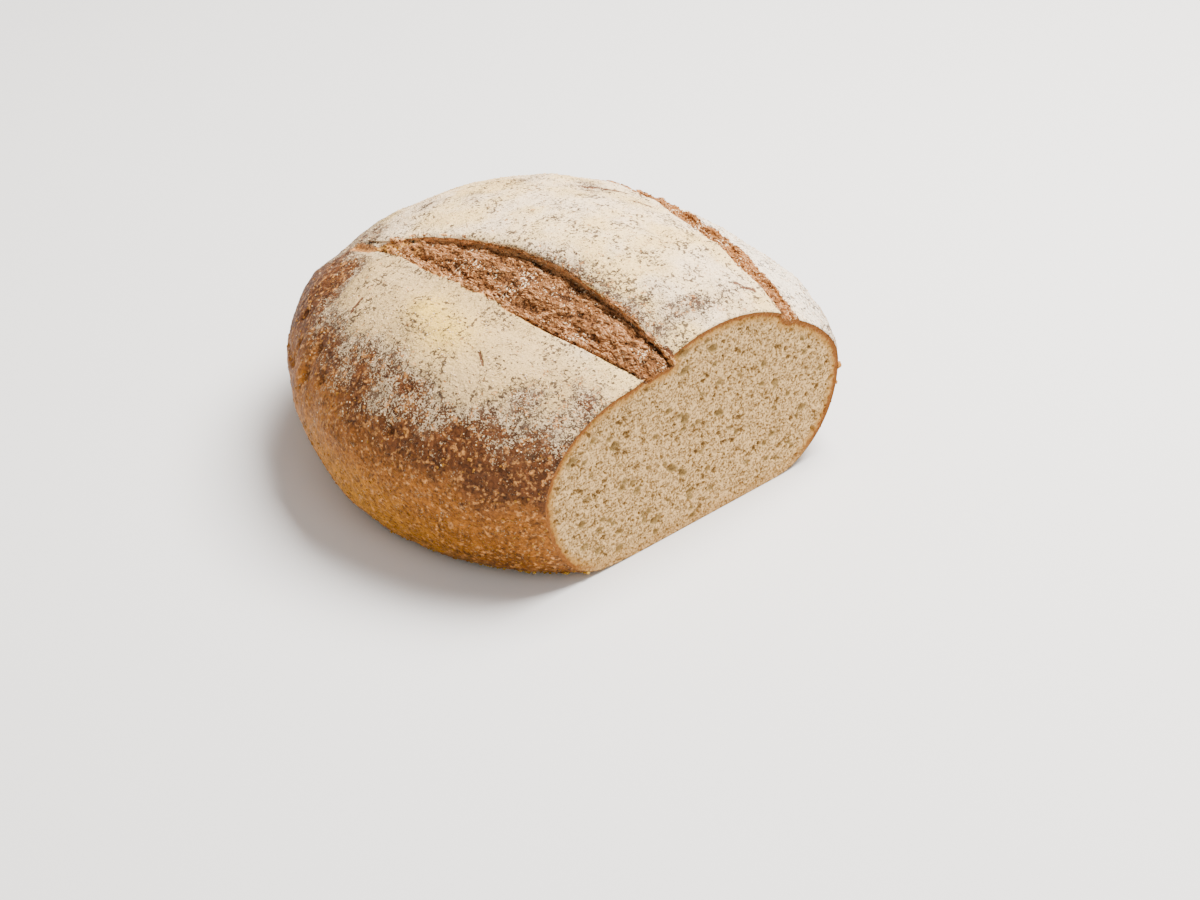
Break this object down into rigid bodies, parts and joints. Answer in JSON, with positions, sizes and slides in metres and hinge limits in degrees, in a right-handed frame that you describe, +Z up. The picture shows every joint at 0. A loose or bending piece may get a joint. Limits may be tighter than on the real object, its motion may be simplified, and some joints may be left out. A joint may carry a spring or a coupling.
{
  "type": "loaf of bread",
  "caption": "Round country loaf cut open across the front, with long slashes in its floured crust and an upright cut face of open crumb.",
  "frame": {"origin": "bottom centre of the loaf's box, on the surface that it stands on", "axes": "+Z up, -Y out of the cut face, +X to the right of someone who looks at the cut face"},
  "size_m": [0.273, 0.2476, 0.1329],
  "materials": {
    "crust": "baked golden brown crust, matt",
    "crumb": "pale beige open crumb",
    "flour": "dusted flour, matt"
  },
  "bodies": {
    "root": {"loaf": "crust"}
  },
  "joints": []
}
